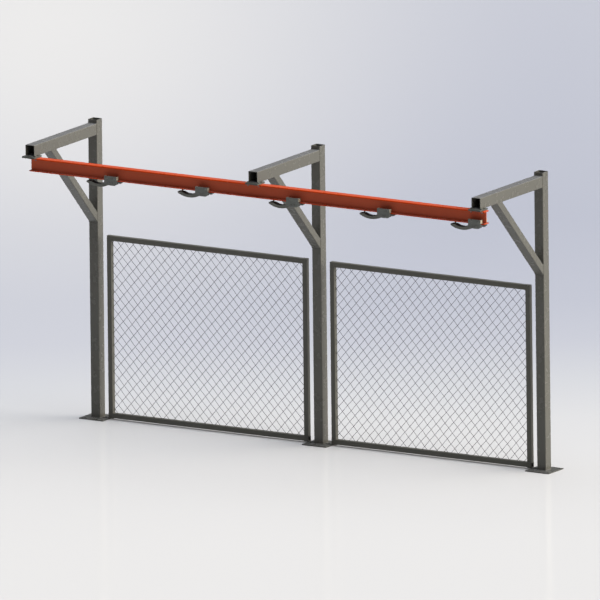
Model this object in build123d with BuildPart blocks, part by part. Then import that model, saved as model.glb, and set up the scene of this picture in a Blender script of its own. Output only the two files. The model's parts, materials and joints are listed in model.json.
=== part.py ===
"""Overhead runway frame: three cantilever posts carry one I-beam rail with five hanger trolleys.

Two framed diamond-mesh guard panels stand between the posts.
Frame: +X along the rail, +Y away from the rail side, +Z up.
Origin: centre of the middle base plate's underside, on the axis of the middle post.
"""
from build123d import *
from math import atan2, cos, radians, sin, tan
import os

# ---- driving dimensions, mm ------------------------------------------------------------
BAY = 2500.0                 # pitch of the three posts
POST_TUBE = 100.0            # square tube of the posts, and width of arms and braces
TUBE_WALL = 5.0
POST_TOP = 2920.0            # height of the open post tops
BASE_SIDE = 270.0            # square base plates
BASE_T = 10.0
ANCHOR_PITCH = 210.0         # floor anchors, a square pattern
ANCHOR_HOLE_R = 9.0
ARM_TOP = 2885.0
ARM_H = 110.0
ARM_TIP_Y = -1190.0          # open front end of the arms
BRACE_HEAD_Y = -882.0        # underside of the brace meets the arm here
BRACE_FOOT_Z = 1919.0        # underside of the brace meets the post here
BRACE_T = 70.0
RAIL_Y = -1155.0             # centre plane of the rail
RAIL_START_X = -2505.0
RAIL_LENGTH = 5100.0
RAIL_H = 128.0
RAIL_W = 86.0
RAIL_WEB_T = 6.0
RAIL_FLANGE_T = 9.0
HANGER_SIDE = 140.0          # square hanger plates between the arms and the rail
HANGER_T = 15.0
PANEL_GAP = 80.0             # clear gap between a panel and the posts beside it
PANEL_TUBE = 48.0
PANEL_WALL = 3.0
PANEL_BOTTOM = 15.0
PANEL_TOP = 1796.0
WIRE_D = 4.0
WIRE_PITCH_FINE = 60.3       # square distance between wires that rise away from the middle post
WIRE_PITCH_WIDE = 85.1       # square distance between wires that fall away from the middle post
WIRE_ANGLE = 47.5            # slope of both wire sets, degrees
TROLLEY_PITCH = RAIL_LENGTH / 5
LAST_TROLLEY_X = 2495.0
WHEEL_R = 16.0
WHEEL_BASE = 80.0            # distance between the two wheel axes of a trolley

# ---- worked out from the driving dimensions ------------------------------------------------
POST_XS = {"left": -BAY, "middle": 0.0, "right": BAY}
HALF = POST_TUBE / 2
ARM_BOTTOM = ARM_TOP - ARM_H
RAIL_TOP = ARM_BOTTOM - HANGER_T
RAIL_BOTTOM = RAIL_TOP - RAIL_H
RAIL_END_X = RAIL_START_X + RAIL_LENGTH
TROLLEY_XS = [LAST_TROLLEY_X - TROLLEY_PITCH * (4 - i) for i in range(5)]
CORNER_R = 7.0               # outer corners of the large tubes
SLIDING_GAP = 0.3            # between surfaces that roll or slide past each other
THREAD_GAP = 0.05            # between a screw and its nut, or a pin and the bore it turns in
EDGE_BREAK = 1.0             # chamfer that takes the sharpness off plates and bolt ends

# hanger bolts: M10, two each side of an arm
BOLT_R = 5.0
BOLT_HOLE_R = 5.5
BOLT_HEAD_FLATS = 16.0
BOLT_HEAD_H = 6.4
BOLT_STICK_OUT = 3.0
NUT_H = 8.4
HANGER_BOLT_X = 60.0
HANGER_BOLT_Y = 28.0

os.makedirs("parts", exist_ok=True)


def save(part, label):
    part.label = label
    export_step(part, f"parts/{label}.step")


def square_tube(plane, length, side_x, side_y, wall, corner):
    """A hollow section drawn on a plane and extruded along the plane's normal."""
    with BuildPart() as tube:
        with BuildSketch(plane):
            RectangleRounded(side_x, side_y, corner)
            RectangleRounded(side_x - 2 * wall, side_y - 2 * wall, corner - wall, mode=Mode.SUBTRACT)
        extrude(amount=length)
    return tube


# ---- posts, base plates, arms, braces --------------------------------------------------------
def make_post(x):
    return square_tube(Plane((x, 0, BASE_T)), POST_TOP - BASE_T, POST_TUBE, POST_TUBE, TUBE_WALL,
                       CORNER_R).part


PLATE_CORNER_R = 4.0         # corners of base plates, hanger plates and lugs
LUG_LENGTH = 122.0           # tongue from the base plate to under the panel
LUG_WIDTH = 40.0
LUG_START = 62.0             # distance of the tongue's near end from the post axis
LUG_SCREW_R = 4.0
LUG_SCREW_IN_BASE = 92.0     # screw positions, from the post axis
LUG_SCREW_IN_RAIL = 156.0
SCREW_CLEARANCE = 0.1
PANEL_SIDES = {"left": [1], "middle": [-1, 1], "right": [-1]}


def make_base_plate(x, sides):
    with BuildPart() as plate:
        with BuildSketch():
            with Locations((x, 0)):
                RectangleRounded(BASE_SIDE, BASE_SIDE, PLATE_CORNER_R)
                with GridLocations(ANCHOR_PITCH, ANCHOR_PITCH, 2, 2):
                    Circle(ANCHOR_HOLE_R, mode=Mode.SUBTRACT)
            with Locations([(x + s * LUG_SCREW_IN_BASE, 0) for s in sides]):
                Circle(LUG_SCREW_R + SCREW_CLEARANCE, mode=Mode.SUBTRACT)
        extrude(amount=BASE_T)
        chamfer(plate.faces().sort_by(Axis.Z)[-1].outer_wire().edges(), EDGE_BREAK)
    return plate.part


def make_arm(x):
    front_of_post = Plane(origin=(x, -HALF, ARM_TOP - ARM_H / 2), x_dir=(1, 0, 0), z_dir=(0, -1, 0))
    return square_tube(front_of_post, -HALF - ARM_TIP_Y, POST_TUBE, ARM_H, TUBE_WALL, CORNER_R).part


def brace_outline(inset):
    """Corners of the brace's side view between arm and post, moved in by inset on both long sides."""
    run = -HALF - BRACE_HEAD_Y
    drop = ARM_BOTTOM - BRACE_FOOT_Z
    slope = atan2(drop, run)
    low_y, low_z = inset / sin(slope), inset / cos(slope)
    high_y, high_z = (BRACE_T - inset) / sin(slope), (BRACE_T - inset) / cos(slope)
    return [(BRACE_HEAD_Y + low_y, ARM_BOTTOM), (-HALF, BRACE_FOOT_Z + low_z),
            (-HALF, BRACE_FOOT_Z + high_z), (BRACE_HEAD_Y + high_y, ARM_BOTTOM)]


def make_brace(x):
    side_view = Plane(origin=(x, 0, 0), x_dir=(0, 1, 0), z_dir=(1, 0, 0))
    with BuildPart() as brace:
        with BuildSketch(side_view):
            Polygon(*brace_outline(0), align=None)
        extrude(amount=HALF, both=True)
        head, foot = brace_outline(0)[0], brace_outline(0)[1]
        lengthwise = Vector(0, foot[0] - head[0], foot[1] - head[1]).normalized()
        nearly_one = 0.999
        long_edges = brace.edges().filter_by(lambda e: abs((e % 0.5).dot(lengthwise)) > nearly_one)
        fillet(long_edges, CORNER_R)
        with BuildSketch(side_view):
            Polygon(*brace_outline(TUBE_WALL), align=None)
        extrude(amount=HALF - TUBE_WALL, both=True, mode=Mode.SUBTRACT)
    return brace.part


# ---- rail, its hanger plates and bolts ----------------------------------------------------------
def hanger_bolt_points(x):
    """Bolt centres of one hanger plate that lie over the rail."""
    points = [(x + sx * HANGER_BOLT_X, RAIL_Y + sy * HANGER_BOLT_Y) for sx in (-1, 1) for sy in (-1, 1)]
    return [p for p in points if RAIL_START_X < p[0] < RAIL_END_X]


ALL_BOLT_POINTS = [p for x in POST_XS.values() for p in hanger_bolt_points(x)]


def make_hanger_plate(x):
    with BuildPart() as plate:
        with BuildSketch(Plane.XY.offset(RAIL_TOP)):
            with Locations((x, RAIL_Y)):
                RectangleRounded(HANGER_SIDE, HANGER_SIDE, PLATE_CORNER_R)
            with Locations(hanger_bolt_points(x)):
                Circle(BOLT_HOLE_R, mode=Mode.SUBTRACT)
        extrude(amount=HANGER_T)
    return plate.part


RAIL_ROOT_R = 6.0            # between the rail's web and its flanges


def make_rail():
    end_view = Plane(origin=(RAIL_START_X, RAIL_Y, RAIL_TOP - RAIL_H / 2), x_dir=(0, 1, 0), z_dir=(1, 0, 0))
    with BuildPart() as rail:
        with BuildSketch(end_view) as section:
            Rectangle(RAIL_WEB_T, RAIL_H)
            with GridLocations(0, RAIL_H - RAIL_FLANGE_T, 1, 2):
                Rectangle(RAIL_W, RAIL_FLANGE_T)
            roots = section.vertices().filter_by(lambda v: abs(v.Y - RAIL_Y) < RAIL_WEB_T)
            fillet(roots, RAIL_ROOT_R)
        extrude(amount=RAIL_LENGTH)
        with BuildSketch(Plane.XY.offset(RAIL_TOP)):
            with Locations(ALL_BOLT_POINTS):
                Circle(BOLT_HOLE_R)
        extrude(amount=-2 * RAIL_FLANGE_T, mode=Mode.SUBTRACT)
    return rail.part


def make_hanger_bolts():
    """Hex bolts, heads on the hanger plates."""
    head_plane = Plane.XY.offset(ARM_BOTTOM)
    length = HANGER_T + RAIL_FLANGE_T + NUT_H + BOLT_STICK_OUT
    with BuildPart() as bolts:
        with BuildSketch(head_plane):
            with Locations(ALL_BOLT_POINTS):
                RegularPolygon(BOLT_HEAD_FLATS / 2, 6, major_radius=False, rotation=30)
        extrude(amount=BOLT_HEAD_H)
        with BuildSketch(head_plane):
            with Locations(ALL_BOLT_POINTS):
                Circle(BOLT_R)
        extrude(amount=-length)
        chamfer(bolts.edges().filter_by(GeomType.CIRCLE).group_by(Axis.Z)[0], EDGE_BREAK)
    return bolts.part


def make_hanger_nuts():
    with BuildPart() as nuts:
        with BuildSketch(Plane.XY.offset(RAIL_TOP - RAIL_FLANGE_T)):
            with Locations(ALL_BOLT_POINTS):
                RegularPolygon(BOLT_HEAD_FLATS / 2, 6, major_radius=False, rotation=30)
                Circle(BOLT_R + THREAD_GAP, mode=Mode.SUBTRACT)
        extrude(amount=-NUT_H)
    return nuts.part


# ---- guard panels ---------------------------------------------------------------------------------
PANEL_CORNER_R = 4.0
PANEL_INNER_START = HALF + PANEL_GAP
PANEL_LENGTH = BAY - 2 * PANEL_INNER_START


def panel_x0(side):
    """Left end of a panel; side is -1 for the left bay and +1 for the right bay."""
    return PANEL_INNER_START if side > 0 else -PANEL_INNER_START - PANEL_LENGTH


def panel_tube_along_x(x0, length, z_centre):
    end_view = Plane(origin=(x0, 0, z_centre), x_dir=(0, 1, 0), z_dir=(1, 0, 0))
    return square_tube(end_view, length, PANEL_TUBE, PANEL_TUBE, PANEL_WALL, PANEL_CORNER_R)


def make_bottom_rail(side):
    """Runs the full length with open ends; two screw holes in its lower wall."""
    rail = panel_tube_along_x(panel_x0(side), PANEL_LENGTH, PANEL_BOTTOM + PANEL_TUBE / 2)
    near = side * LUG_SCREW_IN_RAIL
    far = side * (BAY - LUG_SCREW_IN_RAIL)
    with BuildPart() as drilled:
        add(rail.part)
        with BuildSketch(Plane.XY.offset(PANEL_BOTTOM)):
            with Locations((near, 0), (far, 0)):
                Circle(LUG_SCREW_R + SCREW_CLEARANCE)
        extrude(amount=2 * PANEL_WALL, mode=Mode.SUBTRACT)
    return drilled.part


def make_top_rail(side):
    return panel_tube_along_x(panel_x0(side) + PANEL_TUBE, PANEL_LENGTH - 2 * PANEL_TUBE,
                              PANEL_TOP - PANEL_TUBE / 2).part


def make_stile(x_centre):
    """Upright tube on the bottom rail, closed at the top by a welded cap."""
    foot_z = PANEL_BOTTOM + PANEL_TUBE
    with BuildPart() as stile:
        with BuildSketch(Plane((x_centre, 0, foot_z))):
            RectangleRounded(PANEL_TUBE, PANEL_TUBE, PANEL_CORNER_R)
        extrude(amount=PANEL_TOP - foot_z)
        inner = PANEL_TUBE - 2 * PANEL_WALL
        with BuildSketch(Plane((x_centre, 0, foot_z))):
            RectangleRounded(inner, inner, PANEL_CORNER_R - PANEL_WALL)
        extrude(amount=PANEL_TOP - foot_z - PANEL_WALL, mode=Mode.SUBTRACT)
    return stile.part


FINE_PHASE = 0.125           # where the wires start, in pitches from the middle post axis at floor level
WIDE_PHASE = 0.816
WIRE_TRIM = 0.55 * WIRE_D    # shortens each end, so that a slanting cut stays outside the tubes


def wire_lines(side):
    """End points of every wire in a panel's opening, with the Y of its layer."""
    x_lo, x_hi = PANEL_INNER_START + PANEL_TUBE, PANEL_INNER_START + PANEL_LENGTH - PANEL_TUBE
    z_lo, z_hi = PANEL_BOTTOM + PANEL_TUBE, PANEL_TOP - PANEL_TUBE
    slope = tan(radians(WIRE_ANGLE))
    lines = []
    for pitch, phase, rise, layer in ((WIRE_PITCH_FINE, FINE_PHASE, slope, -1),
                                      (WIRE_PITCH_WIDE, WIDE_PHASE, -slope, 1)):
        step = pitch / sin(radians(WIRE_ANGLE))
        reach = int((x_hi + z_hi) / step) + 2
        for n in range(-reach, reach):
            foot = (n + phase) * step
            ends = clip_line(foot, rise, x_lo, x_hi, z_lo, z_hi)
            if ends:
                lines.append([(side * x, layer * WIRE_D / 2, z) for x, z in ends])
    return lines


def clip_line(foot, rise, x_lo, x_hi, z_lo, z_hi):
    """Part of the line z = rise * (x - foot) inside a rectangle, or None where it only grazes it."""
    at_lo, at_hi = sorted((foot + z_lo / rise, foot + z_hi / rise))
    x0, x1 = max(x_lo, at_lo), min(x_hi, at_hi)
    if x1 - x0 < 2 * WIRE_D:
        return None
    return (x0, rise * (x0 - foot)), (x1, rise * (x1 - foot))


def make_mesh(side):
    """Two layers of straight round wires, welded where they cross and to the tubes around them."""
    with BuildPart() as mesh:
        for start, end in wire_lines(side):
            a, b = Vector(*start), Vector(*end)
            along = (b - a).normalized()
            foot = a + along * WIRE_TRIM
            with BuildSketch(Plane(origin=foot, z_dir=along)):
                Circle(WIRE_D / 2)
            extrude(amount=(b - a).length - 2 * WIRE_TRIM)
    return mesh.part


def lug_sites():
    """Post axis and side of each panel foot."""
    return [(POST_XS[post], s) for post, sides in PANEL_SIDES.items() for s in sides]


def make_lugs():
    """Flat tongues on the base plates that carry the panels' ends."""
    with BuildPart() as lugs:
        with BuildSketch(Plane.XY.offset(BASE_T)):
            for x, s in lug_sites():
                with Locations((x + s * (LUG_START + LUG_LENGTH / 2), 0)):
                    RectangleRounded(LUG_LENGTH, LUG_WIDTH, PLATE_CORNER_R)
                with Locations((x + s * LUG_SCREW_IN_BASE, 0), (x + s * LUG_SCREW_IN_RAIL, 0)):
                    Circle(LUG_SCREW_R + SCREW_CLEARANCE, mode=Mode.SUBTRACT)
        extrude(amount=PANEL_BOTTOM - BASE_T)
    return lugs.part


def make_lug_screws():
    """One screw down into each base plate and one up into each bottom rail."""
    head_r, head_h, grip = 6.5, 5.0, 8.0
    down = [(x + s * LUG_SCREW_IN_BASE, 0) for x, s in lug_sites()]
    up = [(x + s * LUG_SCREW_IN_RAIL, 0) for x, s in lug_sites()]
    with BuildPart() as screws:
        with BuildSketch(Plane.XY.offset(PANEL_BOTTOM)):
            with Locations(down):
                Circle(head_r)
        extrude(amount=head_h)
        with BuildSketch(Plane.XY.offset(PANEL_BOTTOM)):
            with Locations(down):
                Circle(LUG_SCREW_R)
        extrude(amount=-(PANEL_BOTTOM - BASE_T) - grip)
        with BuildSketch(Plane.XY.offset(BASE_T)):
            with Locations(up):
                Circle(head_r)
        extrude(amount=-head_h)
        with BuildSketch(Plane.XY.offset(BASE_T)):
            with Locations(up):
                Circle(LUG_SCREW_R)
        extrude(amount=PANEL_BOTTOM - BASE_T + grip)
        chamfer(screws.edges().filter_by(GeomType.CIRCLE).group_by(Axis.Z)[-1], 0.8)
    return screws.part


# ---- trolleys: X from the trolley's centre, Y from the rail's centre plane, Z from the rail's underside ----
PLATE_T = 10.0
PLATE_OUT = 62.0             # outer face of a side plate
PLATE_IN = PLATE_OUT - PLATE_T
PLATE_TURN_IN = 30.0         # the plate's ends turn in as far as this and guard the wheels
PLATE_HALF_W = 71.0
PLATE_TOP = 46.0
PLATE_SHOULDER = -27.0       # where the lower corners start to taper
PLATE_FOOT_HALF_W = 46.0
PLATE_FOOT = -43.0
PLATE_CORNER = 5.0
PLATE_BEND_R = 3.0
NOTCH_GAP = 2.0              # the turned-in ends stay this far from the rail's lower flange
AXLE_R = 6.0
AXLE_Z = RAIL_FLANGE_T + SLIDING_GAP + WHEEL_R
RIM_R = WHEEL_R + 3.5
RIM_W = 4.7
WHEEL_OUT = 50.0             # outer face of the wheel's rim
WHEEL_IN = 24.0
WHEEL_EDGE = 1.0
TIE_BOLT_R = 6.0
TIE_BOLT_X = 18.0
TIE_BOLT_Z = -24.0
BLOCK_TOP = -6.0
BLOCK_START = -61.0
BLOCK_END = 39.0
BLOCK_TAPER = 8.0
BOSS_R = 13.0                # round bosses that the side plates are bolted against
ARM_HALF_T = 29.0
ARM_BACK_CENTRE = (-158.0, 183.0)    # centre of the arm's underside curve
ARM_BACK_R = 259.0
ARM_SEAT_CENTRE = (-165.0, 95.0)     # centre of the seat that carries the load
ARM_SEAT_R = 140.0
ARM_END_X = -287.0
ARM_TIP_Z = -27.0            # flat top of the arm's tip
CAST_CORNER_R = 5.0
CAST_EDGE_R = 3.0
TOE_X = -246.0               # round toe that keeps the load on the seat
TOE_R = 8.0
TOE_CLEARANCE = 1.0
HOLE_GAP = 0.3               # around the tie bolts
RIVET_GAP = 0.03             # around the axle pins in the side plates

AXLES = [(-WHEEL_BASE / 2, AXLE_Z), (WHEEL_BASE / 2, AXLE_Z)]
TIE_BOLTS = [(-TIE_BOLT_X, TIE_BOLT_Z), (TIE_BOLT_X, TIE_BOLT_Z)]


def trolley_side_view(x, y):
    """Plane facing the front, its origin over the trolley at the rail's underside level."""
    return Plane(origin=(x, RAIL_Y + y, RAIL_BOTTOM), x_dir=(1, 0, 0), z_dir=(0, -1, 0))


def layer(x, side, outer, inner):
    """Side-view plane and length of an extrusion between two distances from the rail's centre plane."""
    return trolley_side_view(x, max(side * outer, side * inner)), outer - inner


def make_side_plate(x, side):
    """A pressing with two turned-in ends; side is -1 for the front plate and +1 for the rear one."""
    whole_plane, whole_depth = layer(x, side, PLATE_OUT, PLATE_TURN_IN)
    pocket_plane, pocket_depth = layer(x, side, PLATE_IN, PLATE_TURN_IN)
    notch_plane, notch_depth = layer(x, side, RAIL_W / 2 + NOTCH_GAP, PLATE_TURN_IN)
    beyond = 4 * PLATE_HALF_W
    with BuildPart() as plate:
        with BuildSketch(whole_plane) as outline:
            Polygon((-PLATE_HALF_W, PLATE_TOP), (PLATE_HALF_W, PLATE_TOP), (PLATE_HALF_W, PLATE_SHOULDER),
                    (PLATE_FOOT_HALF_W, PLATE_FOOT), (-PLATE_FOOT_HALF_W, PLATE_FOOT),
                    (-PLATE_HALF_W, PLATE_SHOULDER), align=None)
            fillet(outline.vertices(), PLATE_CORNER)
        extrude(amount=whole_depth)
        outer_face = plate.faces().sort_by(Axis.Y)[0 if side < 0 else -1]
        fillet(outer_face.outer_wire().edges(), PLATE_BEND_R)
        with BuildSketch(pocket_plane):
            Rectangle(2 * (PLATE_HALF_W - PLATE_T), beyond)
        extrude(amount=pocket_depth, mode=Mode.SUBTRACT)
        with BuildSketch(notch_plane):
            with Locations((0, RAIL_FLANGE_T / 2)):
                Rectangle(beyond, RAIL_FLANGE_T + 2 * NOTCH_GAP)
        extrude(amount=notch_depth, mode=Mode.SUBTRACT)
        with BuildSketch(whole_plane):
            with Locations(AXLES):
                Circle(AXLE_R + RIVET_GAP)
            with Locations(TIE_BOLTS):
                Circle(TIE_BOLT_R + HOLE_GAP)
        extrude(amount=whole_depth, mode=Mode.SUBTRACT)
    return plate.part


def wheel_profile(side):
    """Half section of a flanged wheel: X is the radius, Y the distance from the rail's centre plane."""
    bore = AXLE_R + THREAD_GAP
    rim_in = WHEEL_OUT - RIM_W
    points = [(bore, WHEEL_IN), (WHEEL_R - WHEEL_EDGE, WHEEL_IN), (WHEEL_R, WHEEL_IN + WHEEL_EDGE),
              (WHEEL_R, rim_in), (RIM_R, rim_in), (RIM_R, WHEEL_OUT - WHEEL_EDGE),
              (RIM_R - WHEEL_EDGE, WHEEL_OUT), (bore, WHEEL_OUT)]
    return [(r, side * y) for r, y in points]


def make_wheel_pair(x):
    """Front and rear wheel of one axle line."""
    section = Plane(origin=(x, RAIL_Y, RAIL_BOTTOM + AXLE_Z), x_dir=(1, 0, 0), z_dir=(0, 0, 1))
    with BuildPart() as wheels:
        with BuildSketch(section):
            for side in (-1, 1):
                Polygon(*wheel_profile(side), align=None)
        revolve(axis=Axis(section.origin, (0, 1, 0)))
    return wheels.part


RIVET_HEAD_R = 10.0
RIVET_HEAD_H = 4.0
COLLAR_R = 9.0               # holds a wheel on the inner end of its pin
COLLAR_IN = 20.5
COLLAR_OUT = WHEEL_IN - 0.5
TIE_NUT_FLATS = 18.0
TIE_NUT_H = 8.0
TIE_BOLT_STICK_OUT = 3.0


def make_pins(x):
    """Four riveted axle pins and the two tie bolts with their nuts, all along Y."""
    with BuildPart() as pins:
        for side in (-1, 1):
            for outer, inner, radius in ((PLATE_OUT + RIVET_HEAD_H, PLATE_OUT, RIVET_HEAD_R),
                                         (PLATE_OUT, COLLAR_OUT, AXLE_R), (COLLAR_OUT, COLLAR_IN, COLLAR_R)):
                plane, length = layer(x, side, outer, inner)
                with BuildSketch(plane):
                    with Locations(AXLES):
                        Circle(radius)
                extrude(amount=length)
            plane, length = layer(x, side, PLATE_OUT + TIE_NUT_H, PLATE_OUT)
            with BuildSketch(plane):
                with Locations(TIE_BOLTS):
                    RegularPolygon(TIE_NUT_FLATS / 2, 6, major_radius=False)
            extrude(amount=length)
        thread_end = PLATE_OUT + TIE_NUT_H + TIE_BOLT_STICK_OUT
        with BuildSketch(trolley_side_view(x, thread_end)):
            with Locations(TIE_BOLTS):
                Circle(TIE_BOLT_R)
        extrude(amount=thread_end + PLATE_OUT)
    return pins.part


def make_carrier(x):
    """Casting between the side plates: a block with bosses, and the curved arm with its seat and toe."""
    mid_plane = trolley_side_view(x, 0)
    seat_x, below = ARM_SEAT_CENTRE[0], -ARM_SEAT_R
    with BuildPart() as carrier:
        with BuildSketch(mid_plane) as profile:
            with Locations(ARM_BACK_CENTRE):
                Circle(ARM_BACK_R)
            Polygon((ARM_END_X, ARM_TIP_Z), (seat_x, ARM_TIP_Z), (seat_x, BLOCK_TOP), (0, BLOCK_TOP),
                    (0, below), (ARM_END_X, below), align=None, mode=Mode.INTERSECT)
            with Locations(ARM_SEAT_CENTRE):
                Circle(ARM_SEAT_R, mode=Mode.SUBTRACT)
            Polygon((BLOCK_START, BLOCK_TOP), (BLOCK_END, BLOCK_TOP), (BLOCK_END, PLATE_FOOT + BLOCK_TAPER),
                    (BLOCK_END - BLOCK_TAPER, PLATE_FOOT), (BLOCK_START, PLATE_FOOT), align=None)
            fillet(profile.vertices(), CAST_CORNER_R)
        extrude(amount=ARM_HALF_T, both=True)
        fillet(carrier.faces().filter_by(Axis.Y).edges(), CAST_EDGE_R)
        with BuildSketch(Plane((x + TOE_X, RAIL_Y, RAIL_BOTTOM + ARM_TIP_Z))):
            Circle(TOE_R)
        extrude(amount=-TOE_CLEARANCE - ARM_TIP_Z)
        plane = trolley_side_view(x, PLATE_IN)
        with BuildSketch(plane):
            with Locations(TIE_BOLTS):
                Circle(BOSS_R)
        extrude(amount=2 * PLATE_IN)
        with BuildSketch(plane):
            with Locations(TIE_BOLTS):
                Circle(TIE_BOLT_R + HOLE_GAP)
        extrude(amount=2 * PLATE_IN, mode=Mode.SUBTRACT)
    return carrier.part


# ---- write every piece --------------------------------------------------------------------------------
for place, post_x in POST_XS.items():
    save(make_post(post_x), f"post_{place}")
    save(make_base_plate(post_x, PANEL_SIDES[place]), f"base_plate_{place}")
    save(make_arm(post_x), f"arm_{place}")
    save(make_brace(post_x), f"brace_{place}")
    save(make_hanger_plate(post_x), f"hanger_plate_{place}")

save(make_rail(), "rail_beam")
save(make_hanger_bolts(), "hanger_bolts")
save(make_hanger_nuts(), "hanger_nuts")
save(make_lugs(), "panel_lugs")
save(make_lug_screws(), "lug_screws")

for panel, side in (("left", -1), ("right", 1)):
    first_stile_x = panel_x0(side) + PANEL_TUBE / 2
    save(make_bottom_rail(side), f"panel_{panel}_bottom_rail")
    save(make_top_rail(side), f"panel_{panel}_top_rail")
    save(make_stile(first_stile_x), f"panel_{panel}_stile_a")
    save(make_stile(first_stile_x + PANEL_LENGTH - PANEL_TUBE), f"panel_{panel}_stile_b")
    save(make_mesh(side), f"panel_{panel}_mesh")

for number, trolley_x in enumerate(TROLLEY_XS, start=1):
    save(make_side_plate(trolley_x, -1), f"trolley_{number}_front_plate")
    save(make_side_plate(trolley_x, 1), f"trolley_{number}_rear_plate")
    save(make_wheel_pair(trolley_x - WHEEL_BASE / 2), f"trolley_{number}_wheels_left")
    save(make_wheel_pair(trolley_x + WHEEL_BASE / 2), f"trolley_{number}_wheels_right")
    save(make_pins(trolley_x), f"trolley_{number}_pins")
    save(make_carrier(trolley_x), f"trolley_{number}_carrier")
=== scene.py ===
"""Looks of the overhead monorail frame: paint, steel, woven wire, welds and fasteners on the fixed CAD."""

import json
from math import atan2, cos, pi, radians, sin, tan

import bpy
from mathutils import Matrix, Vector, noise


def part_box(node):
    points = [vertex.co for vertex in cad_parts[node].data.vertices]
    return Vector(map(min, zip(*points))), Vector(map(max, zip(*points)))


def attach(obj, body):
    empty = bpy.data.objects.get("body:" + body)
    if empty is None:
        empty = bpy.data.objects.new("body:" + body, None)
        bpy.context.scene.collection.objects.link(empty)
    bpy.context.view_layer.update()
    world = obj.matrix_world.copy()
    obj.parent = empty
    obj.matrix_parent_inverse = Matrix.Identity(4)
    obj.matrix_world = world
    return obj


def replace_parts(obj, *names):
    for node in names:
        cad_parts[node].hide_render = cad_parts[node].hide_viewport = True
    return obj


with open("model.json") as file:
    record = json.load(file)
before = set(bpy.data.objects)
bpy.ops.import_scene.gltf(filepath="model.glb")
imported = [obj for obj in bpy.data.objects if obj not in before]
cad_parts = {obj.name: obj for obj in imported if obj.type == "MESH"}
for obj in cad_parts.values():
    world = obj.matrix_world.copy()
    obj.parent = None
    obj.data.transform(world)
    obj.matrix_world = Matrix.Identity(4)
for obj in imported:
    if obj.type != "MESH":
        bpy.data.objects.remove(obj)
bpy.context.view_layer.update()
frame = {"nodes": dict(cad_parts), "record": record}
MM = 0.001
PLACES = ("left", "middle", "right")
PANELS = ("left", "right")
TROLLEYS = range(1, 6)


# ---- node materials ------------------------------------------------------------------------------
class Look:
    """One material's node tree, with short calls to add and join nodes."""

    def __init__(self, name):
        self.material = bpy.data.materials.new(name)
        self.material.use_nodes = True
        self.tree = self.material.node_tree
        self.shader = self.tree.nodes["Principled BSDF"]
        self.place = self.add("ShaderNodeTexCoord").outputs["Object"]

    def add(self, kind, settings=None, **inputs):
        node = self.tree.nodes.new(kind)
        for key, value in (settings or {}).items():
            setattr(node, key, value)
        for key, value in inputs.items():
            self.feed(node.inputs[key.replace("_", " ")], value)
        return node

    def feed(self, socket, value):
        if isinstance(value, bpy.types.NodeSocket):
            self.tree.links.new(value, socket)
        else:
            socket.default_value = value

    def math(self, operation, a, b=0.0):
        node = self.tree.nodes.new("ShaderNodeMath")
        node.operation = operation
        self.feed(node.inputs[0], a)
        self.feed(node.inputs[1], b)
        return node.outputs[0]

    def vector(self, operation, a, b=(0, 0, 0)):
        node = self.tree.nodes.new("ShaderNodeVectorMath")
        node.operation = operation
        self.feed(node.inputs[0], a)
        self.feed(node.inputs[1], b)
        return node

    def position(self, axis):
        """One coordinate of the surface point, in metres."""
        return self.add("ShaderNodeSeparateXYZ", Vector=self.place).outputs[axis]

    def turned_to(self, axis):
        """How squarely the surface faces along an axis, from -1 to 1."""
        normal = self.add("ShaderNodeNewGeometry").outputs["Normal"]
        return self.add("ShaderNodeSeparateXYZ", Vector=normal).outputs[axis]

    def noise(self, scale, detail=3.0, stretch=(1, 1, 1), rough=0.55):
        """Cloudy value from 0 to 1; scale is in lumps per metre."""
        where = self.vector("MULTIPLY", self.place, stretch).outputs[0]
        cloud = self.add("ShaderNodeTexNoise", Vector=where, Scale=scale, Detail=detail, Roughness=rough)
        return cloud.outputs["Fac"]

    def span(self, value, low, high, to_low=0.0, to_high=1.0):
        """Maps value from the range low to high onto a new range, clamped."""
        node = self.add("ShaderNodeMapRange", {"clamp": True}, Value=value)
        for key, number in (("From Min", low), ("From Max", high), ("To Min", to_low), ("To Max", to_high)):
            self.feed(node.inputs[key], number)
        return node.outputs[0]

    def mix(self, factor, a, b, blend="MIX"):
        node = self.add("ShaderNodeMix", {"data_type": "RGBA", "blend_type": blend})
        self.feed(node.inputs[0], factor)
        self.feed(node.inputs[6], a)
        self.feed(node.inputs[7], b)
        return node.outputs[2]

    def edges(self, radius):
        """0 on flat faces, rising to 1 on outer and inner edges."""
        rounded = self.add("ShaderNodeBevel", {"samples": 6}, Radius=radius).outputs[0]
        true_normal = self.add("ShaderNodeNewGeometry").outputs["Normal"]
        facing = self.vector("DOT_PRODUCT", rounded, true_normal).outputs["Value"]
        return self.span(self.math("SUBTRACT", 1.0, facing), 0.02, 0.2)

    def finish(self, colour, roughness, height, relief, bevel=0.0012, **constants):
        """Joins it all to the shader; relief is the height's depth and bevel the edges' radius, in metres."""
        self.feed(self.shader.inputs["Base Color"], colour)
        self.feed(self.shader.inputs["Roughness"], roughness)
        rounded = self.add("ShaderNodeBevel", {"samples": 4}, Radius=bevel).outputs[0]
        bump = self.add("ShaderNodeBump", Height=height, Normal=rounded, Distance=relief, Strength=1.0)
        self.feed(self.shader.inputs["Normal"], bump.outputs[0])
        for key, value in constants.items():
            self.feed(self.shader.inputs[key.replace("_", " ")], value)
        return self.material


def rgb(r, g, b):
    return (r, g, b, 1.0)


RIGHT, BACK, UP = 0, 1, 2
GRIME = 0.05
CHIP_WIDTH = 3 * MM
# The first colour is a cream painted highlight for the trolleys' lit ends, and the second is painted shade
# under the rail's lower flange.
# The third colour is near-black painted shade for the castings' up-facing faces.
PAINTED_LIT_END, PAINTED_SHADE_UNDER_FLANGE, PAINTED_TOP_SHADE = rgb(0.3, 0.27, 0.21), rgb(0.025, 0.026, 0.026), rgb(0.005, 0.005, 0.006)
FLANGE_T = 9 * MM
WEB_REACH = 10 * MM           # the web and its root curves lie this close to the rail's middle
TREAD_IN, TREAD_OUT = 24 * MM, 43 * MM   # where the wheels run, from the rail's middle


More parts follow.
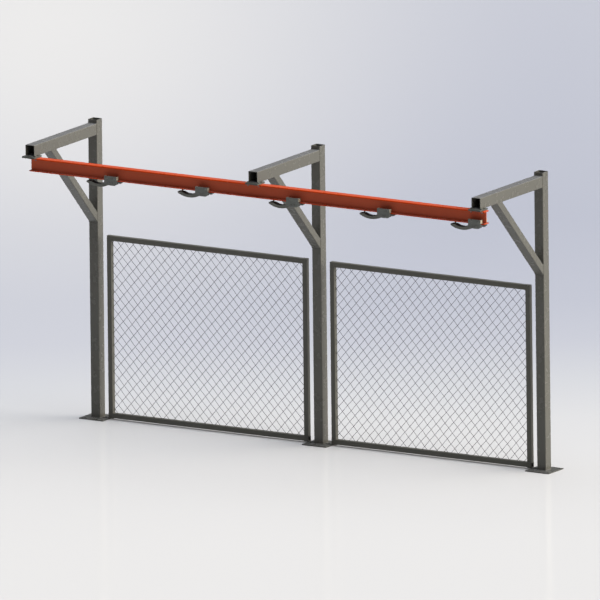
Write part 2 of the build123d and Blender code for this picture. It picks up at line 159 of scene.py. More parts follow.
def paint(name, colour, worn, roughness=0.32, chips=0.66, specular=0.4, end_light_masks=None, dust_and_sky_sheen=None):
    """Sprayed paint: faint tone drift, orange peel, dusty streaks down the faces and small chips along edges.

    The colour given for top faces lightens them: settled dust, and a painted bluish sheen of sky light. The
    masks given for the ends paint light and shade: a cream painted highlight above the rail's lower flange,
    painted shade below it.
    """
    look = Look(name)
    drift = look.span(look.noise(1.7, 4), 0.3, 0.7, 1 - GRIME, 1 + GRIME)
    streaks = look.span(look.noise(9, 5, (1, 1, 0.12)), 0.35, 0.75, 1 + GRIME / 3, 1 - GRIME / 2)
    tone = look.math("MULTIPLY", drift, streaks)
    grey = look.add("ShaderNodeCombineColor", Red=tone, Green=tone, Blue=tone).outputs[0]
    shaded = look.mix(1.0, colour, grey, "MULTIPLY")
    specks = look.span(look.noise(55, 6, rough=0.7), chips, chips + 0.05)
    chipped = look.math("MULTIPLY", look.edges(CHIP_WIDTH), specks)
    tint = look.mix(chipped, shaded, worn)
    # Top faces lighter and bluish: partly settled dust, partly a painted sheen of sky light.
    if dust_and_sky_sheen is not None:
        cover = look.span(look.noise(22, 5), 0.2, 0.5, 0.8, 1.0)
        dust_and_sheen_on_tops = look.math("MULTIPLY", look.span(look.turned_to(UP), 0.6, 0.9), cover)
        tint = look.mix(dust_and_sheen_on_tops, tint, dust_and_sky_sheen)
    # Painted light and shade on the ends: a cream painted highlight in patches, dark painted shade below the
    # flange.
    if end_light_masks is not None:
        lit_end, shaded_end = end_light_masks(look)
        rubbed = look.math("MULTIPLY", lit_end, look.span(look.noise(60, 5), 0.25, 0.4))
        tint = look.mix(rubbed, tint, PAINTED_LIT_END)
        tint = look.mix(shaded_end, tint, PAINTED_SHADE_UNDER_FLANGE)
    peel = look.noise(420, 2)
    gloss = look.span(look.noise(14, 5), 0.3, 0.75, roughness - 0.07, roughness + 0.1)
    gloss = look.math("ADD", gloss, look.math("MULTIPLY", chipped, 0.25))
    height = look.math("SUBTRACT", peel, look.math("MULTIPLY", chipped, 1.5))
    return look.finish(tint, gloss, height, relief=0.00006, Specular_IOR_Level=specular)


def painted_end_light(look):
    """Masks of painted light and shade on the trolleys' right-hand ends: a painted highlight above the rail's
    lower flange, painted shade below it.
    """
    flange_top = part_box("rail_beam")[0].z + FLANGE_T
    above = look.span(look.position(UP), flange_top, flange_top + 3 * MM)
    below = look.math("SUBTRACT", 1.0, above)
    ends = look.span(look.turned_to(RIGHT), 0.6, 0.85)
    return look.math("MULTIPLY", ends, above), look.math("MULTIPLY", ends, below)


def rail_paint():
    """Orange, with a painted greyish sheen on the web, and rubbed to bright steel where the wheels run on the
    lower flange.
    """
    look = Look("rail_orange")
    low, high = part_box("rail_beam")
    middle_y, flange_top = (low.y + high.y) / 2, low.z + FLANGE_T
    drift = look.span(look.noise(1.3, 4), 0.3, 0.7)
    on_flanges = look.mix(drift, rgb(0.43, 0.043, 0.007), rgb(0.385, 0.037, 0.006))
    # The web's greyer orange is a painted sheen of reflected light.
    web_with_painted_sheen = look.mix(drift, rgb(0.42, 0.09, 0.046), rgb(0.395, 0.082, 0.042))
    off_centre = look.math("ABSOLUTE", look.math("SUBTRACT", look.position(BACK), middle_y))
    tone = look.mix(look.span(off_centre, 2 * WEB_REACH, WEB_REACH), on_flanges, web_with_painted_sheen)
    inside = look.span(off_centre, TREAD_IN - 2 * MM, TREAD_IN + 1 * MM)
    outside = look.span(off_centre, TREAD_OUT + 2 * MM, TREAD_OUT - 1 * MM)
    off_flange = look.math("ABSOLUTE", look.math("SUBTRACT", look.position(UP), flange_top))
    on_flange = look.math("LESS_THAN", off_flange, 0.8 * MM)
    lying = look.math("MULTIPLY", on_flange, look.span(look.turned_to(UP), 0.6, 0.9))
    track = look.math("MULTIPLY", look.math("MULTIPLY", inside, outside), lying)
    patchy = look.span(look.noise(16, 6, (0.25, 1.6, 1)), 0.32, 0.5)
    rubbed = look.math("MULTIPLY", track, patchy)
    specks = look.span(look.noise(48, 6, rough=0.7), 0.6, 0.66)
    chipped = look.math("MAXIMUM", rubbed, look.math("MULTIPLY", look.edges(CHIP_WIDTH), specks))
    tint = look.mix(chipped, tone, rgb(0.35, 0.33, 0.31))
    gloss = look.span(look.noise(12, 5), 0.3, 0.75, 0.24, 0.38)
    look.feed(look.shader.inputs["Metallic"], look.math("MULTIPLY", chipped, 0.9))
    height = look.math("SUBTRACT", look.noise(380, 2), look.math("MULTIPLY", chipped, 1.5))
    return look.finish(tint, gloss, height, relief=0.00012, Specular_IOR_Level=0.02)


def steel(name, colour, roughness, spots, metallic):
    """Bare or plated steel with fine grain, cloudy tarnish and spots of another colour."""
    look = Look(name)
    cloud = look.span(look.noise(24, 5), 0.3, 0.7)
    dull = tuple(0.72 * c for c in colour[:3]) + (1.0,)
    spotted = look.span(look.noise(70, 6, rough=0.7), 0.58, 0.68)
    tint = look.mix(spotted, look.mix(cloud, colour, dull), spots)
    fine = look.noise(900, 2)
    gloss = look.span(cloud, 0, 1, roughness - 0.06, roughness + 0.14)
    return look.finish(tint, gloss, fine, relief=0.00006, bevel=0.0006, Metallic=metallic)


def casting():
    """Dark painted casting: sandy skin, worn edges, and black painted shade on what faces up."""
    look = Look("trolley_cast_iron")
    skin = look.math("ADD", look.noise(260, 4, rough=0.7), look.math("MULTIPLY", look.noise(60, 3), 1.4))
    tone = look.mix(look.span(look.noise(9, 4), 0.3, 0.7), rgb(0.135, 0.138, 0.124), rgb(0.105, 0.108, 0.098))
    rubbed = look.math("MULTIPLY", look.edges(0.004), look.span(look.noise(50, 6, rough=0.7), 0.52, 0.6))
    tint = look.mix(rubbed, tone, rgb(0.24, 0.235, 0.22))
    # Up-facing faces painted near black in patches: painted shade standing for the rail's shadow.
    shade_patches = look.span(look.noise(30, 5), 0.2, 0.45, 0.6, 1.0)
    shaded_tops = look.math("MULTIPLY", look.span(look.turned_to(UP), 0.35, 0.75), shade_patches)
    tint = look.mix(shaded_tops, tint, PAINTED_TOP_SHADE)
    gloss = look.span(look.noise(40, 5), 0.3, 0.7, 0.42, 0.6)
    return look.finish(tint, gloss, skin, relief=0.0005, bevel=0.002, Specular_IOR_Level=0.1)


def turned_steel():
    """Lathe-turned wheels: fine rings about the axle, dark oil near the hub."""
    look = Look("turned_wheel_steel")
    across = look.add("ShaderNodeTexCoord").outputs["Generated"]
    centred = look.vector("SUBTRACT", across, (0.5, 0.5, 0.5)).outputs[0]
    flat = look.vector("MULTIPLY", centred, (1, 0, 1)).outputs[0]
    radius = look.vector("LENGTH", flat).outputs["Value"]
    rings = look.math("SINE", look.math("MULTIPLY", radius, 320.0))
    oil = look.span(radius, 0.16, 0.3, 1.0, 0.0)
    tint = look.mix(look.math("MULTIPLY", oil, look.span(look.noise(90, 4), 0.3, 0.6)),
                    rgb(0.5, 0.48, 0.44), rgb(0.06, 0.05, 0.04))
    gloss = look.span(look.noise(60, 5), 0.3, 0.7, 0.2, 0.42)
    return look.finish(tint, gloss, rings, relief=0.00003, bevel=0.0006, Metallic=0.9)


LOOKS = {
    # Its top faces get a lighter bluish colour: settled dust plus a painted sheen of sky light.
    "frame_paint": paint("frame_grey", rgb(0.082, 0.082, 0.073), rgb(0.17, 0.17, 0.15), roughness=0.24,
                         chips=0.72, specular=0.28, dust_and_sky_sheen=rgb(0.145, 0.147, 0.15)),
    "base_plate_paint": paint("base_plate_grey", rgb(0.08, 0.081, 0.077), rgb(0.15, 0.15, 0.14),
                              roughness=0.3, specular=0.12),
    "hanger_plate_paint": paint("hanger_plate_grey", rgb(0.066, 0.072, 0.066), rgb(0.2, 0.2, 0.18),
                                specular=0.2),
    "panel_paint": paint("panel_grey", rgb(0.079, 0.079, 0.069), rgb(0.18, 0.18, 0.16),
                         roughness=0.34, specular=0.2),
    "rail_paint": rail_paint(),
    "mesh_wire": steel("mesh_wire_zinc", rgb(0.042, 0.042, 0.046), 0.5,
                       spots=rgb(0.1, 0.1, 0.1), metallic=0.3),
    "fasteners": steel("dull_zinc_fasteners", rgb(0.17, 0.175, 0.17), 0.42,
                       spots=rgb(0.11, 0.105, 0.095), metallic=0.6),
    # Its right-hand ends get painted light above the rail's flange and painted shade below it.
    "trolley_plate": paint("trolley_blue_grey", rgb(0.09, 0.097, 0.09), rgb(0.2, 0.19, 0.17), roughness=0.4,
                           end_light_masks=painted_end_light),
    "trolley_casting": casting(),
    "trolley_pins": steel("oiled_pin_steel", rgb(0.13, 0.132, 0.126), 0.4,
                          spots=rgb(0.06, 0.055, 0.05), metallic=0.5),
    "trolley_wheel": turned_steel(),
}
for entry in frame["record"]["subparts"]:
    mesh = frame["nodes"][entry["node"]].data
    mesh.materials.clear()
    mesh.materials.append(LOOKS[entry["material_slot"]])


# ---- mesh building ---------------------------------------------------------------------------------
class Shape:
    """Points and faces of one piece, made of closed skins over rings of points."""

    def __init__(self):
        self.points = []
        self.faces = []

    def skin(self, rings, closed=False):
        """Joins rings of equal count, in order, and caps both ends unless the last joins the first."""
        first = len(self.points)
        count = len(rings[0])
        for ring in rings:
            self.points.extend(ring)
        last = len(rings) if closed else len(rings) - 1
        for i in range(last):
            a, b = first + i * count, first + (i + 1) % len(rings) * count
            self.faces.extend((a + j, a + (j + 1) % count, b + (j + 1) % count, b + j) for j in range(count))
        if not closed:
            self.faces.append(tuple(first + j for j in reversed(range(count))))
            self.faces.append(tuple(first + last * count + j for j in range(count)))

    def piece(self, name, body, slot, smooth_angle=40):
        mesh = bpy.data.meshes.new(name)
        mesh.from_pydata(self.points, [], self.faces)
        mesh.materials.append(LOOKS[slot])
        obj = bpy.data.objects.new(name, mesh)
        bpy.context.scene.collection.objects.link(obj)
        mesh.shade_smooth()
        mesh.set_sharp_from_angle(angle=radians(smooth_angle))
        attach(obj, body)
        return obj


def round_ring(matrix, radius, height, sides=32):
    return [matrix @ Vector((radius * cos(2 * pi * j / sides), radius * sin(2 * pi * j / sides), height))
            for j in range(sides)]


def turned(shape, matrix, profile, sides=32):
    """A closed turned form from (radius, height) pairs, bottom to top."""
    shape.skin([round_ring(matrix, r, h, sides) for r, h in profile])


def hexagon_radius(flats, angle):
    return flats / 2 / cos((angle + pi / 6) % (pi / 3) - pi / 6)


HEX_SIDES = 48
HEX_CHAMFER = tan(radians(30))
HEX_INSET = 0.47              # radius of the flat ring on a hexagon's end, in widths across its flats
THREAD_DEPTH, RINGS_PER_TURN = 0.55, 6   # depth in pitches
WASHER_R, WASHER_T, WASHER_EDGE = 10 * MM, 1.6 * MM, 0.4 * MM


def hexagon_ring(matrix, flats, height, chamfer=0.0):
    """A hexagon's outline; chamfer is how much its corners drop below its flats' middles."""
    ring = []
    for j in range(HEX_SIDES):
        angle = 2 * pi * j / HEX_SIDES
        r = hexagon_radius(flats, angle)
        drop = (r - flats / 2) * chamfer
        ring.append(matrix @ Vector((r * cos(angle), r * sin(angle), height - drop)))
    return ring


def hexagon_head(shape, matrix, flats, height, both_ends=False):
    """A hex head or nut standing on the matrix's XY plane, with turned-down corners."""
    inset = HEX_INSET * flats
    low = hexagon_ring(matrix, flats, 0.0, -HEX_CHAMFER if both_ends else 0.0)
    high = hexagon_ring(matrix, flats, height, HEX_CHAMFER)
    bottom, top = (round_ring(matrix, inset, z, HEX_SIDES) for z in (0.0, height))
    shape.skin([bottom, low, high, top])


def threaded_end(shape, matrix, radius, start, end, pitch):
    """The threaded tip of a bolt from one height to another along the matrix's Z; its last ring tapers in."""
    depth = THREAD_DEPTH * pitch
    steps = max(4, int(abs(end - start) / pitch * RINGS_PER_TURN))
    rings = []
    for k in range(steps + 1):
        height = start + (end - start) * k / steps
        ring = []
        for j in range(HEX_SIDES):
            turn = (height / pitch + j / HEX_SIDES) % 1.0
            r = radius - depth * (abs(2 * turn - 1) if k < steps else 1)
            angle = 2 * pi * j / HEX_SIDES
            ring.append(matrix @ Vector((r * cos(angle), r * sin(angle), height)))
        rings.append(ring)
    shape.skin(rings)


def washer(shape, matrix, inner, outer, thickness):
    rim = outer - WASHER_EDGE
    profile = ((inner, 0), (rim, 0), (outer, WASHER_EDGE), (outer, thickness - WASHER_EDGE),
               (rim, thickness), (inner, thickness))
    shape.skin([round_ring(matrix, r, h) for r, h in profile], closed=True)


def washer_and_hexagon(shape, matrix, radius, flats, height, both_ends=False):
    """A washer on the matrix's XY plane for a bolt of that radius, with a hex head or nut on it."""
    washer(shape, matrix, radius, WASHER_R, WASHER_T)
    hexagon_head(shape, matrix @ Matrix.Translation((0, 0, WASHER_T)), flats, height, both_ends)


def facing(origin, direction):
    """A matrix at origin whose Z points along direction."""
    return Matrix.Translation(Vector(origin)) @ Vector(direction).to_track_quat("Z", "Y").to_matrix().to_4x4()


# ---- bolts, screws and pins ----------------------------------------------------------------------------
X, Y, Z = Vector((1, 0, 0)), Vector((0, 1, 0)), Vector((0, 0, 1))
BOLT_R, BOLT_FLATS, BOLT_HEAD_H = 5 * MM, 16 * MM, 6.4 * MM
NUT_H, THREAD_PITCH, THREAD_END = 8.4 * MM, 1.5 * MM, 3 * MM
HANGER_BOLT_X, HANGER_BOLT_Y = 60 * MM, 28 * MM
BOLT_TURN = 17    # degrees from one bolt head to the next, so that they don't all point the same way


def hanger_bolt_points():
    """Where bolts hold the rail: the corners of every hanger plate that lie over it."""
    rail_low, rail_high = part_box("rail_beam")
    points = []
    for place in PLACES:
        low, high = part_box(f"hanger_plate_{place}")
        centre = (low + high) / 2
        for x in (centre.x - HANGER_BOLT_X, centre.x + HANGER_BOLT_X):
            if rail_low.x < x < rail_high.x:
                points += [(x, centre.y - HANGER_BOLT_Y), (x, centre.y + HANGER_BOLT_Y)]
    return points


def hanger_bolts():
    """Hex bolts on washers over the plates; nuts, washers and thread ends under the rail's top flange."""
    heads, nuts = Shape(), Shape()
    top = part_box("hanger_plate_middle")[1].z
    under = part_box("rail_beam")[1].z - FLANGE_T
    for i, (x, y) in enumerate(hanger_bolt_points()):
        turn = Matrix.Rotation(radians(BOLT_TURN * i), 4, "Z")
        up = Matrix.Translation((x, y, top)) @ turn
        washer_and_hexagon(heads, up, BOLT_R, BOLT_FLATS, BOLT_HEAD_H)
        down = Matrix.Translation((x, y, under)) @ Matrix.Rotation(pi, 4, "X") @ turn
        washer_and_hexagon(nuts, down, BOLT_R, BOLT_FLATS, NUT_H, both_ends=True)
        thread_start = WASHER_T + NUT_H - THREAD_PITCH
        threaded_end(nuts, down, BOLT_R, thread_start, NUT_H + 2 * THREAD_END, THREAD_PITCH)
    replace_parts(heads.piece("hanger_bolt_heads", "frame", "fasteners", 30), "hanger_bolts")
    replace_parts(nuts.piece("hanger_bolt_nuts", "frame", "fasteners", 30), "hanger_nuts")


SCREW_HEAD_R, SCREW_HEAD_H, SCREW_EDGE = 6.5 * MM, 5 * MM, 0.8 * MM
SCREW_KEY, SCREW_SOCKET = 6 * MM, 3 * MM
SCREW_ON_BASE, SCREW_ON_RAIL = 92 * MM, 156 * MM
LUG_SIDES = {"left": (1,), "middle": (-1, 1), "right": (-1,)}


def cap_screw_head(shape, matrix):
    """A round screw head with a rounded rim and a hexagon socket, standing on the matrix's XY plane."""
    r, h, edge, cut = SCREW_HEAD_R, SCREW_HEAD_H, SCREW_EDGE, 0.3 * SCREW_EDGE
    profile = ((r, 0), (r, h - edge), (r - cut, h - cut), (r - edge, h))
    rings = [round_ring(matrix, radius, height, HEX_SIDES) for radius, height in profile]
    rings += [hexagon_ring(matrix, SCREW_KEY, h), hexagon_ring(matrix, SCREW_KEY, h - SCREW_SOCKET)]
    shape.skin(rings)


def lug_screws():
    """Socket-head screws: down into the base plates, and up into the panels' bottom rails."""
    screws = Shape()
    low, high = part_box("panel_lugs")
    for place in PLACES:
        post_low, post_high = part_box(f"post_{place}")
        x = (post_low.x + post_high.x) / 2
        for side in LUG_SIDES[place]:
            cap_screw_head(screws, Matrix.Translation((x + side * SCREW_ON_BASE, 0, high.z)))
            under = Matrix.Translation((x + side * SCREW_ON_RAIL, 0, low.z)) @ Matrix.Rotation(pi, 4, "X")
            cap_screw_head(screws, under)
    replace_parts(screws.piece("panel_lug_screws", "frame", "fasteners", 30), "lug_screws")


AXLE_X, AXLE_R, RIVET_R, RIVET_H = 40 * MM, 6 * MM, 10 * MM, 4 * MM
COLLAR_R, COLLAR_IN, COLLAR_OUT, COLLAR_EDGE = 9 * MM, 20.5 * MM, 23.5 * MM, 1 * MM
TIE_X, TIE_Z, TIE_R, TIE_FLATS, TIE_NUT_H = 18 * MM, -24 * MM, 6 * MM, 18 * MM, 8 * MM
TIE_HEAD_H, TIE_THREAD_END, TIE_PITCH = 7 * MM, 3 * MM, 1.75 * MM
HEAD_TURNS, NUT_TURNS = (11, 23, 7), (5, 31, 13)   # degrees: first, more per bolt, more per trolley


def some_turn(turns, bolt, trolley):
    """Turns bolt heads and nuts so that they don't all point the same way."""
    first, per_bolt, per_trolley = turns
    return Matrix.Rotation(radians(first + per_bolt * bolt + per_trolley * trolley), 4, "Z")


def axle_pin(shape, outward, face):
    """A pin with a domed rivet head outside and a collar inside; Z of the matrix points outwards."""
    dome = [(RIVET_R * cos(radians(a)), face + RIVET_H * sin(radians(a))) for a in range(0, 90, 12)]
    profile = [(COLLAR_R - COLLAR_EDGE, COLLAR_IN), (COLLAR_R, COLLAR_IN + COLLAR_EDGE),
               (COLLAR_R, COLLAR_OUT), (AXLE_R, COLLAR_OUT), (AXLE_R, face), (RIVET_R, face)]
    turned(shape, outward, profile + dome)


def trolley_pins(number):
    """Axle pins and tie bolts of one trolley."""
    pins = Shape()
    wheel_low, wheel_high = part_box(f"trolley_{number}_wheels_left")
    plate_low, plate_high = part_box(f"trolley_{number}_front_plate")
    rail_low, rail_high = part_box("rail_beam")
    middle_x, middle_y = (plate_low.x + plate_high.x) / 2, (rail_low.y + rail_high.y) / 2
    axle_z = (wheel_low.z + wheel_high.z) / 2
    face = middle_y - plate_low.y
    for along in (-Y, Y):
        for x in (middle_x - AXLE_X, middle_x + AXLE_X):
            axle_pin(pins, facing((x, middle_y, axle_z), along), face)
    for i, x in enumerate((middle_x - TIE_X, middle_x + TIE_X)):
        spot = (x, middle_y, rail_low.z + TIE_Z)
        front = facing(spot, -Y) @ some_turn(HEAD_TURNS, i, number)
        rear = facing(spot, Y) @ some_turn(NUT_TURNS, i, number)
        on_face = Matrix.Translation((0, 0, face))
        washer_and_hexagon(pins, front @ on_face, TIE_R, TIE_FLATS, TIE_HEAD_H - WASHER_T)
        washer_and_hexagon(pins, rear @ on_face, TIE_R, TIE_FLATS, TIE_NUT_H - WASHER_T, both_ends=True)
        nut_end = face + TIE_NUT_H
        threaded_end(pins, rear, TIE_R, nut_end - TIE_PITCH, nut_end + TIE_THREAD_END, TIE_PITCH)
        turned(pins, rear, ((TIE_R, -face), (TIE_R, face)))
    piece = pins.piece(f"trolley_{number}_rivets_and_bolts", f"trolley_{number}", "trolley_pins", 30)
    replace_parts(piece, f"trolley_{number}_pins")


hanger_bolts()
lug_screws()
for number in TROLLEYS:
    trolley_pins(number)


# ---- welds --------------------------------------------------------------------------------------------
WELD_STEP = 2.0 * MM
WELD_SIDES, RIPPLE_STEPS, RIPPLE, WANDER = 8, 3.1, 0.16, 0.2
WELD_LUMPS = 60               # per metre
WELD_END = 0.4                # an open bead's end rings, as a share of their full size
FOOT_BEAD, ARM_BEAD, BRACE_BEAD, PLATE_BEAD, PANEL_BEAD = 3.6 * MM, 3.0 * MM, 3.2 * MM, 3.4 * MM, 2.0 * MM
# How far the beads on a hanger plate keep in from the arm's side, the plate's back edge and the arm's tip.
IN_FROM_SIDE, IN_FROM_BACK, IN_FROM_TIP = 1 * MM, 4 * MM, 8 * MM
TUBE_CORNER, PANEL_TUBE_CORNER = 7 * MM, 4 * MM
BRACE_T = 70 * MM


def rounded_rectangle(centre, across, upward, width, height, corner):
    """Outline points of a rounded rectangle in the plane of two unit vectors."""
    points = []
    corners = ((1, 1, 0), (-1, 1, 90), (-1, -1, 180), (1, -1, 270))
    for sx, sy, start in corners:
        for k in range(7):
            angle = radians(start + 15 * k)
            u = sx * (width / 2 - corner) + corner * cos(angle)
            v = sy * (height / 2 - corner) + corner * sin(angle)
            points.append(centre + across * u + upward * v)
    return points


def evenly(points, closed):
    """The same line with points a weld ripple's step apart."""
    path = points + points[:1] if closed else points
    spaced = []
    for a, b in zip(path, path[1:]):
        count = max(1, round((b - a).length / WELD_STEP))
        spaced.extend(a.lerp(b, i / count) for i in range(count))
    return spaced if closed else spaced + [path[-1]]


def bead(shape, points, radius, normal, closed=True):
    """A rippled weld bead along a line in the plane with that normal."""
    path = evenly(points, closed)
    around = [2 * pi * j / WELD_SIDES for j in range(WELD_SIDES)]
    rings = []
    for i, point in enumerate(path):
        ahead = path[(i + 1) % len(path)] if closed else path[min(i + 1, len(path) - 1)]
        behind = path[i - 1] if closed else path[max(i - 1, 0)]
        along = (ahead - behind).normalized()
        side = along.cross(normal).normalized()
        wander = WANDER * noise.noise(point * WELD_LUMPS)
        size = radius * (1 + RIPPLE * abs(sin(pi * i / RIPPLE_STEPS)) + wander)
        if not closed and i in (0, len(path) - 1):
            size *= WELD_END
        rings.append([point + size * (side * cos(angle) + normal * sin(angle)) for angle in around])
    shape.skin(rings, closed)


def post_welds(place):
    """Beads around the post's foot, the arm, both ends of the brace and the hanger plate."""
    welds = Shape()
    post_low, post_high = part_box(f"post_{place}")
    arm_low, arm_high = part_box(f"arm_{place}")
    brace_low, brace_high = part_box(f"brace_{place}")
    x, width = (post_low.x + post_high.x) / 2, post_high.x - post_low.x
    foot = Vector((x, 0, post_low.z))
    bead(welds, rounded_rectangle(foot, X, Y, width, width, TUBE_CORNER), FOOT_BEAD, Z)
    joint = Vector((x, arm_high.y, (arm_low.z + arm_high.z) / 2))
    bead(welds, rounded_rectangle(joint, X, Z, width, arm_high.z - arm_low.z, TUBE_CORNER), ARM_BEAD, Y)
    slope = atan2(brace_high.z - brace_low.z, brace_high.y - brace_low.y)
    cut_y, cut_z = BRACE_T / sin(slope), BRACE_T / cos(slope)
    head = Vector((x, brace_low.y + cut_y / 2, brace_high.z))
    bead(welds, rounded_rectangle(head, X, Y, width, cut_y, TUBE_CORNER), BRACE_BEAD, Z)
    heel = Vector((x, brace_high.y, brace_low.z + cut_z / 2))
    bead(welds, rounded_rectangle(heel, X, Z, width, cut_z, TUBE_CORNER), BRACE_BEAD, Y)
    plate_low, plate_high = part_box(f"hanger_plate_{place}")
    reach = width / 2 - TUBE_CORNER / 2
    back, front = plate_high.y - IN_FROM_BACK, arm_low.y
    for side in (-1, 1):
        edge = Vector((x + side * (width / 2 - IN_FROM_SIDE), 0, plate_high.z))
        bead(welds, [edge + Y * back, edge + Y * (front + IN_FROM_TIP)], PLATE_BEAD, Z, closed=False)
    tip = Vector((x, front, plate_high.z))
    bead(welds, [tip - X * reach, tip + X * reach], PLATE_BEAD, Z, closed=False)
    welds.piece(f"post_{place}_welds", "frame", "frame_paint", 60)


def panel_welds(panel):
    """Beads around the four corners of a panel's tube frame."""
    welds = Shape()
    for stile in ("a", "b"):
        low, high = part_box(f"panel_{panel}_stile_{stile}")
        foot, size = Vector(((low.x + high.x) / 2, 0, low.z)), high - low
        bead(welds, rounded_rectangle(foot, X, Y, size.x, size.y, PANEL_TUBE_CORNER), PANEL_BEAD, Z)
    low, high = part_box(f"panel_{panel}_top_rail")
    for end_x in (low.x, high.x):
        joint, size = Vector((end_x, 0, (low.z + high.z) / 2)), high - low
        bead(welds, rounded_rectangle(joint, Y, Z, size.y, size.z, PANEL_TUBE_CORNER), PANEL_BEAD, X)
    welds.piece(f"panel_{panel}_welds", "frame", "panel_paint", 60)


for place in PLACES:
    post_welds(place)
for panel in PANELS:
    panel_welds(panel)


# ---- woven wire of the guard panels ---------------------------------------------------------------------
WIRE_R = 2.0 * MM
WIRE_ANGLE = radians(47.5)
WIRE_SETS = ((60.3 * MM, 0.125, 1), (85.1 * MM, 0.816, -1))   # pitch, phase, rising or falling outwards
WIRE_STEP, WIRE_SWING = 9 * MM, 1.08 * WIRE_R
NUGGET_R, SHORTEST_WIRE = 1.7 * WIRE_R, 4 * WIRE_R   # the shortest is measured along X


def wire_number(which, x, z):
    """How many pitches a point lies from the zero line of a wire set; whole on each of its wires."""
    pitch, phase, rise = WIRE_SETS[which]
    return (x - rise * z / tan(WIRE_ANGLE)) * sin(WIRE_ANGLE) / pitch - phase


def wire_ends(which, number, low, high):
    """Where a wire enters and leaves the panel's opening, or None."""
    pitch, phase, rise = WIRE_SETS[which]
    foot = (number + phase) * pitch / sin(WIRE_ANGLE)
    slope = rise * tan(WIRE_ANGLE)
    x0, x1 = sorted((foot + low.y / slope, foot + high.y / slope))
    x0, x1 = max(x0, low.x), min(x1, high.x)
    if x1 - x0 < SHORTEST_WIRE:
        return None
    return Vector((x0, slope * (x0 - foot))), Vector((x1, slope * (x1 - foot)))


def nugget(shape, centre):
    """A small drop of weld at a wire's end."""
    profile = [(NUGGET_R * sin(pi * k / 6), -NUGGET_R * cos(pi * k / 6)) for k in range(1, 6)]
    turned(shape, Matrix.Translation(centre), profile, 10)


def woven_wire(shape, which, number, ends, side):
    """One wire that passes in front of and behind the wires of the other set by turns."""
    a, b = ends
    along = (b - a).normalized()
    count = int((b - a).length / WIRE_STEP) + 2
    across = Vector((-side * along.y, 0, along.x))
    rings = []
    for k in range(count + 1):
        spot = a.lerp(b, k / count)
        weave = cos(pi * (wire_number(1 - which, spot.x, spot.y) + number))
        centre = Vector((side * spot.x, (1 if which else -1) * WIRE_SWING * weave, spot.y))
        rings.append([centre + WIRE_R * (across * cos(pi * j / 4) + Y * sin(pi * j / 4)) for j in range(8)])
    shape.skin(rings)
    for end in (rings[0], rings[-1]):
        nugget(shape, sum(end, Vector()) / len(end))


def wire_mesh(panel, side):
    """Both wire sets of one panel, laid out from the middle post; side is -1 left of it and 1 right."""
    shape = Shape()
    stiles = [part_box(f"panel_{panel}_stile_{s}") for s in ("a", "b")]
    bottom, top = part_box(f"panel_{panel}_bottom_rail")[1].z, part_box(f"panel_{panel}_top_rail")[0].z
    near, far = sorted((abs(stiles[0][1].x), abs(stiles[1][0].x)))
    low, high = Vector((near, bottom)), Vector((far, top))
    for which in (0, 1):
        numbers = [wire_number(which, x, z) for x in (low.x, high.x) for z in (low.y, high.y)]
        for number in range(int(min(numbers)) - 1, int(max(numbers)) + 2):
            ends = wire_ends(which, number, low, high)
            if ends:
                woven_wire(shape, which, number, ends, side)
    piece = shape.piece(f"panel_{panel}_woven_wire", "frame", "mesh_wire", 60)
    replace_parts(piece, f"panel_{panel}_mesh")


for panel, side in zip(PANELS, (-1, 1)):
    wire_mesh(panel, side)


# ---- floor, light and camera ------------------------------------------------------------------------------
AZIMUTH, ELEVATION, ROLL = radians(31.69), radians(12.11), radians(0.627)
VIEW_CENTRE = Vector((-0.221, 0.0, 1.383))
VIEW_WIDTH = 5.732
VIEW_DISTANCE = 30.0


def view_axes():
    right = Vector((cos(AZIMUTH), sin(AZIMUTH), 0))
    back = Vector((sin(AZIMUTH) * cos(ELEVATION), -cos(AZIMUTH) * cos(ELEVATION), sin(ELEVATION)))
    up = back.cross(right)
    return right * cos(ROLL) - up * sin(ROLL), right * sin(ROLL) + up * cos(ROLL), back


def camera():
    """A parallel view, as in an engineering picture."""
    data = bpy.data.cameras.new("camera")
    data.type = "ORTHO"
    data.ortho_scale = VIEW_WIDTH
    data.clip_end = 200
    obj = bpy.data.objects.new("camera", data)
    bpy.context.scene.collection.objects.link(obj)
    right, up, back = view_axes()
    turn = Matrix((right, up, back)).transposed().to_4x4()
    obj.matrix_world = Matrix.Translation(VIEW_CENTRE + back * VIEW_DISTANCE) @ turn
    bpy.context.scene.camera = obj


# Painted light: the floor darkens and cools towards the back, then lightens again far behind.
PAINTED_FLOOR_LIGHT = (   # metres behind the object, colour
    (-4.5, (0.564, 0.565, 0.573)), (-1.2, (0.555, 0.557, 0.568)), (1.1, (0.522, 0.529, 0.549)),
    (2.9, (0.466, 0.48, 0.517)), (4.7, (0.407, 0.423, 0.482)), (6.5, (0.376, 0.394, 0.46)),
    (10.2, (0.353, 0.372, 0.441)), (20.0, (0.389, 0.405, 0.465)))
GLOW_ASIDE, GLOW_DEPTH, GLOW_WIDTH, GLOW_LENGTH = -2.8, 19.5, 5.3, 19.0   # its centre and half sizes
PAINTED_GLOW_TONE = (0.562, 0.564, 0.573)
FLOOR_ROUGHNESS, FLOOR_SPECULAR, FLOOR_SIZE = 0.08, 0.08, 240.0


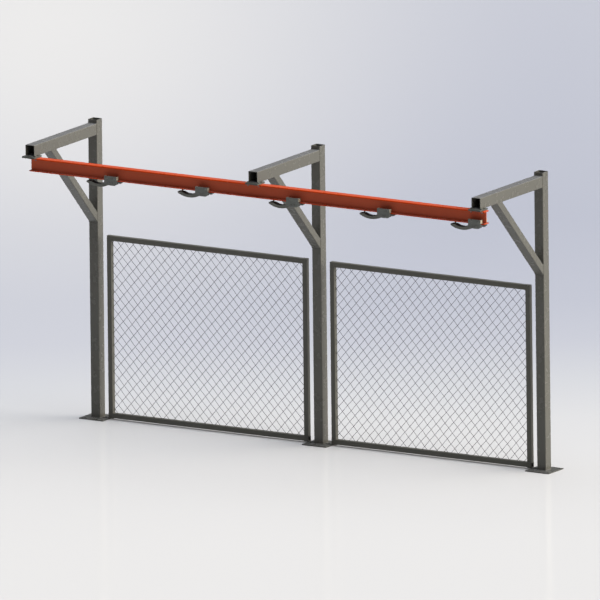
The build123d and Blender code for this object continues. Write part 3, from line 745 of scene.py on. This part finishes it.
def floor():
    """A very large pale floor with painted light: it darkens and cools towards the back, and a painted glow
    brightens its far left corner.
    """
    look = Look("pale_floor")
    depth_axis = (-sin(AZIMUTH), cos(AZIMUTH), 0)
    side_axis = (cos(AZIMUTH), sin(AZIMUTH), 0)
    depth = look.vector("DOT_PRODUCT", look.place, depth_axis).outputs["Value"]
    aside = look.vector("DOT_PRODUCT", look.place, side_axis).outputs["Value"]
    ramp = look.add("ShaderNodeValToRGB", Fac=look.span(depth, PAINTED_FLOOR_LIGHT[0][0], PAINTED_FLOOR_LIGHT[-1][0]))
    span = PAINTED_FLOOR_LIGHT[-1][0] - PAINTED_FLOOR_LIGHT[0][0]
    stops = ramp.color_ramp.elements
    while len(stops) < len(PAINTED_FLOOR_LIGHT):
        stops.new(0.5)
    for stop, (metres, colour) in zip(stops, PAINTED_FLOOR_LIGHT):
        stop.position = (metres - PAINTED_FLOOR_LIGHT[0][0]) / span
        stop.color = rgb(*colour)
    # A painted pool of light on the floor's far left.
    du = look.math("DIVIDE", look.math("SUBTRACT", aside, GLOW_ASIDE), GLOW_WIDTH)
    dv = look.math("DIVIDE", look.math("SUBTRACT", depth, GLOW_DEPTH), GLOW_LENGTH)
    reach = look.math("SQRT", look.math("ADD", look.math("MULTIPLY", du, du), look.math("MULTIPLY", dv, dv)))
    glow = look.add("ShaderNodeMapRange", {"interpolation_type": "SMOOTHSTEP"},
                    Value=reach, From_Min=1.0, From_Max=0.0)
    tone = look.mix(glow.outputs[0], ramp.outputs[0], rgb(*PAINTED_GLOW_TONE))
    look.feed(look.shader.inputs["Base Color"], tone)
    look.shader.inputs["Roughness"].default_value = FLOOR_ROUGHNESS
    look.shader.inputs["Specular IOR Level"].default_value = FLOOR_SPECULAR
    half = FLOOR_SIZE / 2
    mesh = bpy.data.meshes.new("floor")
    corners = [(-half, -half, 0), (half, -half, 0), (half, half, 0), (-half, half, 0)]
    mesh.from_pydata(corners, [], [(0, 1, 2, 3)])
    mesh.materials.append(look.material)
    obj = bpy.data.objects.new("floor", mesh)
    bpy.context.scene.collection.objects.link(obj)


LIGHTS = (   # towards, sharpness, colour, strength
    ((1.0, 0.33, 0.28), 6.0, (1.0, 0.92, 0.79), 9.35),   # warm, from the right
    ((0.0, 0.1, 1.0), 8.0, (0.92, 0.95, 1.0), 5.6),      # cool, from above
    ((0.0, 0.0, -1.0), 0.1, (1.0, 1.0, 1.0), 0.8))       # pale below the floor, hidden from the object
AMBIENT = (0.085, 0.085, 0.09)


def studio():
    """A soft surround without lamps: each light is a wide glow of the world towards one direction."""
    world = bpy.data.worlds.new("studio")
    bpy.context.scene.world = world
    world.use_nodes = True
    tree = world.node_tree
    direction = tree.nodes.new("ShaderNodeTexCoord").outputs["Generated"]

    def node(kind, operation, *values):
        made = tree.nodes.new(kind)
        made.operation = operation
        for socket, value in zip(made.inputs, values):
            if isinstance(value, bpy.types.NodeSocket):
                tree.links.new(value, socket)
            else:
                socket.default_value = value
        return made

    def glow(towards, sharpness, colour, strength):
        dot = node("ShaderNodeVectorMath", "DOT_PRODUCT", direction, Vector(towards).normalized())
        ahead = node("ShaderNodeMath", "MAXIMUM", dot.outputs["Value"], 0.0)
        shape = node("ShaderNodeMath", "POWER", ahead.outputs[0], sharpness)
        scaled = node("ShaderNodeVectorMath", "SCALE", [c * strength for c in colour])
        tree.links.new(shape.outputs[0], scaled.inputs["Scale"])
        return scaled.outputs[0]

    total, *others = [glow(*light) for light in LIGHTS]
    for value in others + [AMBIENT]:
        total = node("ShaderNodeVectorMath", "ADD", total, value).outputs[0]
    tree.links.new(total, tree.nodes["Background"].inputs["Color"])


bpy.context.scene.view_settings.view_transform = "Standard"
camera()
floor()
studio()
